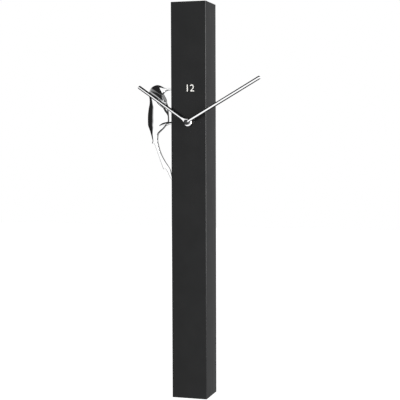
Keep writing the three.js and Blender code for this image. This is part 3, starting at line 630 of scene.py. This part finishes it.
# Skin over rings of points with flat ends; half rings are closed by a flat side
def skinRings(name, rings, sharpRings=(), closed=True):
    form = bmesh.new()
    rows = [[form.verts.new(point) for point in ring] for ring in rings]
    count = len(rows[0])
    turns = count if closed else count - 1
    for low, high in zip(rows, rows[1:]):
        for i in range(turns):
            j = (i + 1) % count
            form.faces.new((low[i], low[j], high[j], high[i]))
    if not closed:  # the flat side of a half
        for low, high in zip(rows, rows[1:]):
            form.faces.new((low[-1], low[0], high[0], high[-1]))
    form.faces.new(rows[0][::-1])
    form.faces.new(rows[-1])
    bmesh.ops.recalc_face_normals(form, faces=form.faces)
    for face in form.faces:
        face.smooth = len(face.verts) == 4
    for index in sharpRings:
        row = rows[index]
        for i in range(turns):
            edge = form.edges.get((row[i], row[(i + 1) % count]))
            if edge:
                edge.smooth = False
    if not closed:
        for low, high in zip(rows, rows[1:]):
            for end in (0, -1):
                form.edges.get((low[end], high[end])).smooth = False
    for row in (rows[0], rows[-1]):
        for i in range(turns):
            form.edges.get((row[i], row[(i + 1) % count])).smooth = False
    mesh = bpy.data.meshes.new(name)
    form.to_mesh(mesh)
    form.free()
    return mesh


# Values on a smooth curve through the rows; runs between sharp rows are smoothed on their own
def smoothRows(rows, sharp, step):
    ends = [0, *sharp, len(rows) - 1]
    dense = []
    sharpAt = []
    for first, last in zip(ends, ends[1:]):
        run = [Vector(row) for row in rows[first : last + 1]]
        gaps = [max((b - a).length, 1e-6) for a, b in zip(run, run[1:])]
        slopes = [(b - a) / gap for a, b, gap in zip(run, run[1:], gaps)]
        tangents = [slopes[0]]
        for before, after, gapA, gapB in zip(slopes, slopes[1:], gaps, gaps[1:]):
            tangents.append((before * gapB + after * gapA) / (gapA + gapB))
        tangents.append(slopes[-1])
        for i, gap in enumerate(gaps):
            pieces = max(1, round(gap / step))
            for k in range(pieces):
                t = k / pieces
                dense.append(
                    run[i] * (2 * t**3 - 3 * t**2 + 1)
                    + tangents[i] * gap * (t**3 - 2 * t**2 + t)
                    + run[i + 1] * (3 * t**2 - 2 * t**3)
                    + tangents[i + 1] * gap * (t**3 - t**2)
                )
        sharpAt.append(len(dense))
    dense.append(Vector(rows[-1]))
    return dense, sharpAt[:-1]


# Bird: a loft from the beak's tip over the head and down the body to the tail's tip.
# Millimetres from the pivot. Each row: outer x and z (crown, back), inner x and z (throat, breast),
# half thickness, fullness of the outer and the inner side (1 is round, lower is squarer),
# share of the thickness left at the inner edge, where the thickest line runs (-1 at the inner side,
# 1 at the outer), and how straight the outer side falls away from it (0 is round, 1 a flat chamfer)
bird = {
    "rows": [
        (-37.3, 59.9, -37.3, 59.4, 0.3, 1.0, 1.0, 1, 0, 0),
        (-40.5, 60.9, -40.5, 58.6, 0.9, 0.6, 0.6, 0.6, 0.4, 0),
        (-44.3, 61.7, -44.3, 57.8, 1.6, 0.45, 0.45, 0.5, 0.5, 0),
        (-50.0, 61.8, -49.3, 57.1, 3.0, 0.4, 0.4, 0.4, 0.5, 0),
        (-53.7, 62.1, -52.2, 55.9, 3.8, 0.4, 0.3, 0.45, 0.4, 0),
        (-56.8, 63.2, -54.3, 54.0, 4.6, 0.4, 0.3, 0.45, 0.3, 0),
        (-59.8, 65.0, -55.9, 52.1, 5.4, 0.45, 0.25, 0.45, 0.2, 0),
        (-63.2, 66.7, -57.0, 50.4, 6.2, 0.5, 0.2, 0.45, 0.1, 0),
        (-67.0, 67.7, -57.3, 49.3, 8.8, 1.0, 0.2, 0.45, -0.62, 1),
        (-70.8, 67.4, -57.0, 48.4, 9.4, 1.0, 0.2, 0.5, -0.9, 1),
        (-76.5, 65.2, -56.4, 47.4, 9.8, 1.0, 0.2, 0.5, -0.96, 1),
        (-80.3, 62.5, -56.0, 46.4, 10.0, 1.0, 0.2, 0.5, -0.97, 1),
        (-82.6, 59.7, -55.0, 44.8, 10.0, 1.0, 0.2, 0.5, -0.97, 1),
        (-83.6, 57.6, -53.0, 41.1, 9.8, 1.0, 0.2, 0.45, -0.96, 1),
        (-84.0, 55.6, -50.6, 36.5, 9.2, 1.0, 0.15, 0.3, -0.85, 0.9),
        (-83.8, 53.0, -49.6, 34.6, 8.9, 0.6, 0.15, 0.18, 0.1, 0),
        (-83.2, 49.3, -48.8, 32.4, 9.0, 0.65, 0.12, 0.18, 0.1, 0),
        (-82.3, 41.5, -48.0, 29.0, 9.2, 0.75, 0.12, 0.17, 0.05, 0),
        (-82.8, 34.1, -47.6, 25.8, 9.4, 0.9, 0.12, 0.16, 0, 0),
        (-84.1, 28.7, -47.4, 22.6, 9.5, 1.1, 0.12, 0.16, 0, 0),
        (-85.1, 23.3, -47.2, 19.8, 9.6, 1.15, 0.12, 0.16, 0, 0),
        (-86.1, 16.1, -46.8, 14.2, 9.7, 1.2, 0.12, 0.16, 0, 0),
        (-86.5, 8.9, -46.5, 8.2, 9.8, 1.2, 0.12, 0.18, 0, 0),
        (-86.5, 1.7, -46.8, 2.0, 9.6, 1.2, 0.14, 0.25, -0.05, 0),
        (-85.9, -5.5, -52.0, -5.0, 9.2, 1.15, 0.2, 0.4, -0.1, 0),
        (-84.2, -10.0, -56.2, -9.7, 8.6, 1.1, 0.2, 0.48, -0.15, 0),
        (-82.3, -14.5, -61.5, -14.5, 7.9, 1.0, 0.25, 0.55, -0.15, 0),
        (-80.2, -20.8, -66.5, -20.0, 7.1, 0.9, 0.25, 0.6, -0.1, 0),
        (-78.4, -27.1, -67.8, -27.2, 6.3, 0.85, 0.25, 0.65, 0, 0),
        (-77.0, -32.5, -68.0, -32.4, 5.8, 0.7, 0.25, 0.7, 0, 0),
        (-78.6, -36.9, -67.2, -36.3, 5.4, 0.7, 0.25, 0.7, 0, 0),
        (-74.2, -36.5, -67.15, -36.5, 4.9, 0.4, 0.25, 0.75, 0, 0),
        (-71.4, -42.1, -65.8, -42.2, 4.6, 0.4, 0.25, 0.75, 0, 0),
        (-68.6, -50.2, -63.4, -50.0, 4.2, 0.35, 0.25, 0.75, 0, 0),
        (-65.8, -58.3, -60.0, -58.0, 3.8, 0.35, 0.25, 0.75, 0, 0),
        (-63.0, -66.7, -55.3, -66.6, 3.4, 0.35, 0.25, 0.75, 0, 0),
        (-60.2, -74.4, -50.4, -74.2, 3.0, 0.35, 0.25, 0.75, 0, 0),
        (-57.0, -83.2, -46.2, -80.0, 2.6, 0.4, 0.25, 0.75, 0, 0),
        (-53.6, -81.3, -46.1, -80.2, 2.5, 0.4, 0.25, 0.75, 0, 0),
        (-51.7, -84.3, -44.0, -84.2, 2.4, 0.4, 0.3, 0.75, 0, 0),
        (-48.9, -88.8, -42.6, -89.3, 2.0, 0.5, 0.4, 0.8, 0, 0),
        (-46.1, -95.4, -41.3, -95.6, 1.5, 0.6, 0.6, 0.8, 0, 0),
        (-41.6, -102.9, -40.4, -102.9, 0.6, 0.9, 0.9, 1, 0, 0),
    ],
    "sharpRows": (7, 14, 30, 31, 37, 38),  # edge of the hood, shoulder, wing tip and outer tail feather
    "step": 1.0,
    "sides": 96,
    "seam": 0.06,  # half the gap between the two halves
}


def birdSection(row, side):
    outerX, outerZ, innerX, innerZ, half, outerFull, innerFull, innerEdge, ridge, chamfer = row
    middle = Vector(((outerX + innerX) / 2, 0, (outerZ + innerZ) / 2))
    reach = Vector(((outerX - innerX) / 2, 0, (outerZ - innerZ) / 2))
    ring = []
    count = bird["sides"] // 2
    for i in range(count + 1):
        turn = pi * i / count
        if cos(turn) > 0:
            straight = 1 - 2 * turn / pi
            share = (1 - chamfer) * cos(turn) ** outerFull + chamfer * straight
            across = ridge + (1 - ridge) * share
            out = (1 - chamfer) * sin(turn) ** outerFull + chamfer * (1 - straight)
        else:
            share = abs(cos(turn)) ** innerFull
            across = ridge - (1 + ridge) * share
            out = abs(sin(turn)) ** innerFull * (1 - (1 - innerEdge) * share)
        place = middle + reach * across
        place.y = side * max(bird["seam"], half * out)
        ring.append(place * mm + birdMiddle)
    return ring


def makeBird():
    dense, sharpAt = smoothRows(bird["rows"], bird["sharpRows"], bird["step"])
    halves = (("birdFrontShell", -1, "bird_front_half"), ("birdRearShell", 1, "bird_rear_half"))
    for name, side, node in halves:
        rings = [birdSection(row, side) for row in dense]
        mesh = skinRings(name, rings, sharpAt, closed=False)
        addPiece(name, mesh, "pendulum", "bird_chrome", node)


makeBird()
print("bird lofted")


# Leg: a bar from the rocker through the case's slot, with a flat thigh on each side of the body.
# Millimetres from the pivot: x, depth from the middle, z, half depth, half height
leg = {
    "stud": [
        (-24.6, 0, 0.3, 2.2, 2.2),
        (-32, 0, 0.3, 2.2, 2.2),
        (-40, 0, 0.0, 2.2, 2.2),
        (-46, 0, -0.9, 2.1, 2.1),
        (-52, 0, -2.8, 1.9, 1.9),
        (-58, 0, -5.0, 1.6, 1.5),
    ],
    "thigh": [
        (-43.5, 3.2, 0.4, 1.2, 1.1),
        (-47.5, 6.0, -0.3, 1.6, 1.7),
        (-52, 8.4, -1.9, 1.7, 2.0),
        (-57, 9.8, -3.9, 1.5, 1.8),
        (-61.5, 9.6, -5.6, 0.8, 0.8),
    ],
    "top": 2.0,  # how round the section is above and below its middle, 1 is round
    "bottom": 0.35,
    "sides": 48,
    "step": 0.8,
}


def barRings(rows):
    dense, _ = smoothRows(rows, (), leg["step"])
    rings = []
    for i, row in enumerate(dense):
        ahead = Vector(dense[min(i + 1, len(dense) - 1)][:3])
        behind = Vector(dense[max(i - 1, 0)][:3])
        along = (ahead - behind).normalized()
        right = along.cross(Vector((0, 0, 1))).normalized()
        up = right.cross(along)
        ring = []
        for k in range(leg["sides"]):
            way = 2 * pi * k / leg["sides"]
            roundness = leg["top"] if sin(way) > 0 else leg["bottom"]
            across = copysign(abs(cos(way)) ** roundness, cos(way)) * row[3]
            rise = copysign(abs(sin(way)) ** roundness, sin(way)) * row[4]
            ring.append((Vector(row[:3]) + right * across + up * rise) * mm + birdMiddle)
        rings.append(ring)
    return rings


def makeLeg():
    addPiece("legStud", skinRings("legStud", barRings(leg["stud"])), "pendulum", "hand_chrome", "bird_leg")
    for name, side in (("thighFront", -1), ("thighRear", 1)):
        rows = [(x, side * depth, z, wide, high) for x, depth, z, wide, high in leg["thigh"]]
        addPiece(name, skinRings(name, barRings(rows)), "pendulum", "bird_chrome")


makeLeg()
print("leg made")


# Hands: round rods. The hour hand widens like a drop into a flat eye round the shaft;
# the minute hand is a plain rod on a dark boss, held by a dark cap nut
hands = {
    "rod": 3.08,
    "rounding": 0.7,
    "cornerSteps": 6,
    "sides": 48,
    "hour": {
        "angle": 305,
        "length": 109.9,
        "eye": 7.5,
        "eyeHalf": 2.08,
        "eyeTurn": 0.8,  # share of a half turn that the eye's side follows
        "eyeTaper": 0.35,  # how slowly the eye thins towards its end
        "eyeFullness": 0.7,  # 1 is round, lower is squarer
        "flare": 15,
        "flareCurve": 3.2,  # how soon the flare narrows to the rod
        "steps": 24,
    },
    "minute": {"angle": 60, "length": 151.9, "root": -1.5},
    "boss": {"radius": 4.68, "half": 2.08, "edge": 0.7},
    "cap": {"radius": 2.88, "edge": 0.8},
}


def cornerAngles():
    steps = hands["cornerSteps"]
    return [pi / 2 * i / steps for i in range(steps + 1)]


def roundedEnd(end, radius):
    edge = hands["rounding"]
    return [(end - edge + edge * sin(way), radius - edge + edge * cos(way)) for way in cornerAngles()]


# Stations along the hour hand: position, half width, half depth, fullness
def hourSections():
    look = hands["hour"]
    rod, eye, eyeHalf, flare = hands["rod"], look["eye"], look["eyeHalf"], look["flare"]
    steps, fullness = look["steps"], look["eyeFullness"]
    profile = []
    for i in range(1, steps + 1):
        way = look["eyeTurn"] * pi * i / steps
        width = eye * sin(way)
        depth = eyeHalf * min(1, (width / eye) ** look["eyeTaper"])
        profile.append((-eye * cos(way), width, depth, fullness))
    lastAt, lastWidth = profile[-1][:2]
    for i in range(1, steps + 1):
        t = i / steps
        ease = t * t * (3 - 2 * t)
        along = lastAt + (flare - lastAt) * t
        width = lastWidth + (rod - lastWidth) * (1 - (1 - t) ** look["flareCurve"])
        depth = eyeHalf + (rod - eyeHalf) * ease
        profile.append((along, width, depth, fullness + (1 - fullness) * ease))
    return profile + [(along, radius, radius, 1) for along, radius in roundedEnd(look["length"], rod)]


def minuteSections():
    look = hands["minute"]
    length, tip = look["length"], roundedEnd(look["length"], hands["rod"])
    start = [(look["root"] + length - along, radius) for along, radius in tip]
    return [(along, radius, radius, 1) for along, radius in start[::-1] + tip]


def makeHand(name, sections, angle, node, body):
    low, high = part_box(node)
    depthMiddle = (low.y + high.y) / 2
    turn = Matrix.Rotation(radians(angle), 3, "Y")
    rings = []
    for along, width, depth, fullness in sections:
        ring = []
        for k in range(hands["sides"]):
            way = 2 * pi * k / hands["sides"]
            across = copysign(abs(cos(way)) ** fullness, cos(way)) * width
            out = copysign(abs(sin(way)) ** fullness, sin(way)) * depth
            place = turn @ Vector((across, 0, along)) * mm
            ring.append(Vector((place.x + hub.x, depthMiddle + out * mm, place.z + hub.z)))
        rings.append(ring)
    addPiece(name, skinRings(name, rings), body, "hand_chrome", node)


# A round part on the hub's line from (radius, depth) steps, front to back
def hubTurning(name, steps, body, slotName, *replaced):
    ways = [2 * pi * k / hands["sides"] for k in range(hands["sides"])]
    rings = []
    for step, depth in steps:
        radius = step * mm
        rings.append([Vector((hub.x + radius * cos(way), depth, hub.z + radius * sin(way))) for way in ways])
    return addPiece(name, skinRings(name, rings), body, slotName, *replaced)


# Rounded front corner of a turned part: radius, and how far behind the front
def turnedCorner(radius, edge):
    return [(radius - edge + edge * sin(way), edge * (1 - cos(way)) * mm) for way in cornerAngles()]


def makeBossAndCap():
    low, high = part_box("minute_hand")
    middle = (low.y + high.y) / 2
    look = hands["boss"]
    half = look["half"] * mm
    corner = turnedCorner(look["radius"], look["edge"])
    front = [(radius, middle - half + depth) for radius, depth in corner]
    back = [(radius, middle + half - depth) for radius, depth in corner[::-1]]
    hubTurning("minuteBoss", front + back, "minute", "black_plastic")
    look = hands["cap"]
    corner = turnedCorner(look["radius"], look["edge"])
    front = [(radius, nutLow.y + depth) for radius, depth in corner]
    hubTurning("capNut", front + [(look["radius"], nutHigh.y)], "minute", "black_plastic", "hand_nut")


makeHand("hourHand", hourSections(), hands["hour"]["angle"], "hour_hand", "hour")
makeHand("minuteHand", minuteSections(), hands["minute"]["angle"], "minute_hand", "minute")
makeBossAndCap()
print("hands made")


# A plain numeral printed above the hands
numeral = {
    "text": "12",
    "height": 0.0125,
    "digitShare": 0.72,  # a digit's height as a share of the font's size
    "place": (0.0025, -0.1165),
    "thickness": 0.00006,
}


def makeNumeral():
    curve = bpy.data.curves.new("numeralTwelve", "FONT")
    curve.body = numeral["text"]
    curve.align_x = "CENTER"
    curve.size = numeral["height"] / numeral["digitShare"]
    curve.extrude = numeral["thickness"]
    template = bpy.data.objects.new("numeralTwelve", curve)
    scene.collection.objects.link(template)
    mesh = bpy.data.meshes.new_from_object(template)
    bpy.data.objects.remove(template)
    x, z = numeral["place"]
    front = Matrix.Translation((x, caseLow.y - 2 * numeral["thickness"], z))
    mesh.transform(front @ Matrix.Rotation(pi / 2, 4, "X"))
    mesh.materials.clear()
    addPiece("numeralTwelve", mesh, "case", "white_plastic")


makeNumeral()
print("numeral printed")
